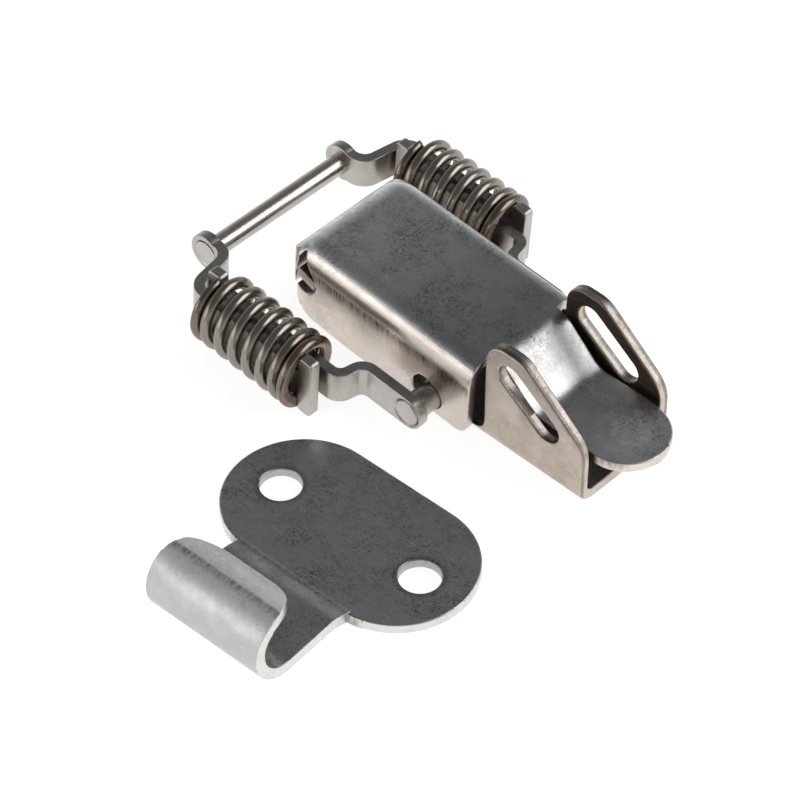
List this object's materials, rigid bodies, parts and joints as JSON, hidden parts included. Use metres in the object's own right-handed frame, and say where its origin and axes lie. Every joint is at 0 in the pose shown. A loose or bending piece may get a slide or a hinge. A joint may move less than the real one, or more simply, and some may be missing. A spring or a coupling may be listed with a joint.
{
  "type": "toggle latch",
  "caption": "Sheet steel toggle latch with a spring-loaded draw loop, a folded lever with a thumb tongue, padlock ears, and a separate hooked catch plate.",
  "frame": {"origin": "midway between the two screw holes of the base plate, on its mounting face", "axes": "+X from the draw bar towards the thumb tongue, +Y towards the side away from the catch plate, +Z away from the mounting face"},
  "size_m": [0.0912, 0.1066, 0.0232],
  "materials": {
    "sheet_steel": "tumbled stainless sheet, satin with fine scratches",
    "pin_steel": "bright drawn bar, smooth",
    "spring_wire": "drawn spring wire with a faint brown heat tint"
  },
  "bodies": {
    "base": {"base_plate": "sheet_steel", "catch_plate": "sheet_steel"},
    "lever": {"lever": "sheet_steel"},
    "loop": {"link_rivet_left": "pin_steel", "link_rivet_right": "pin_steel", "lever_link_left": "sheet_steel", "lever_link_right": "sheet_steel", "spring_left": "spring_wire", "spring_right": "spring_wire"},
    "draw": {"bar_link_left": "sheet_steel", "bar_link_right": "sheet_steel", "draw_bar": "pin_steel"}
  },
  "joints": [
    {"name": "lever_hinge", "type": "hinge", "parent": "base", "child": "lever", "pos_m": [-0.036, 0, 0.0123], "axis": [0, -1, 0], "range_deg": [0, 100]},
    {"name": "loop_hinge", "type": "hinge", "parent": "lever", "child": "loop", "pos_m": [-0.007, 0, 0.00525], "axis": [0, 1, 0], "range_deg": [0, 150]},
    {"name": "draw_slide", "type": "slide", "parent": "loop", "child": "draw", "axis": [-0.9978, 0, 0.0663], "range_m": [0, 0.005], "stiffness_N_per_m": 30000, "deforming": ["spring_left", "spring_right"]}
  ]
}
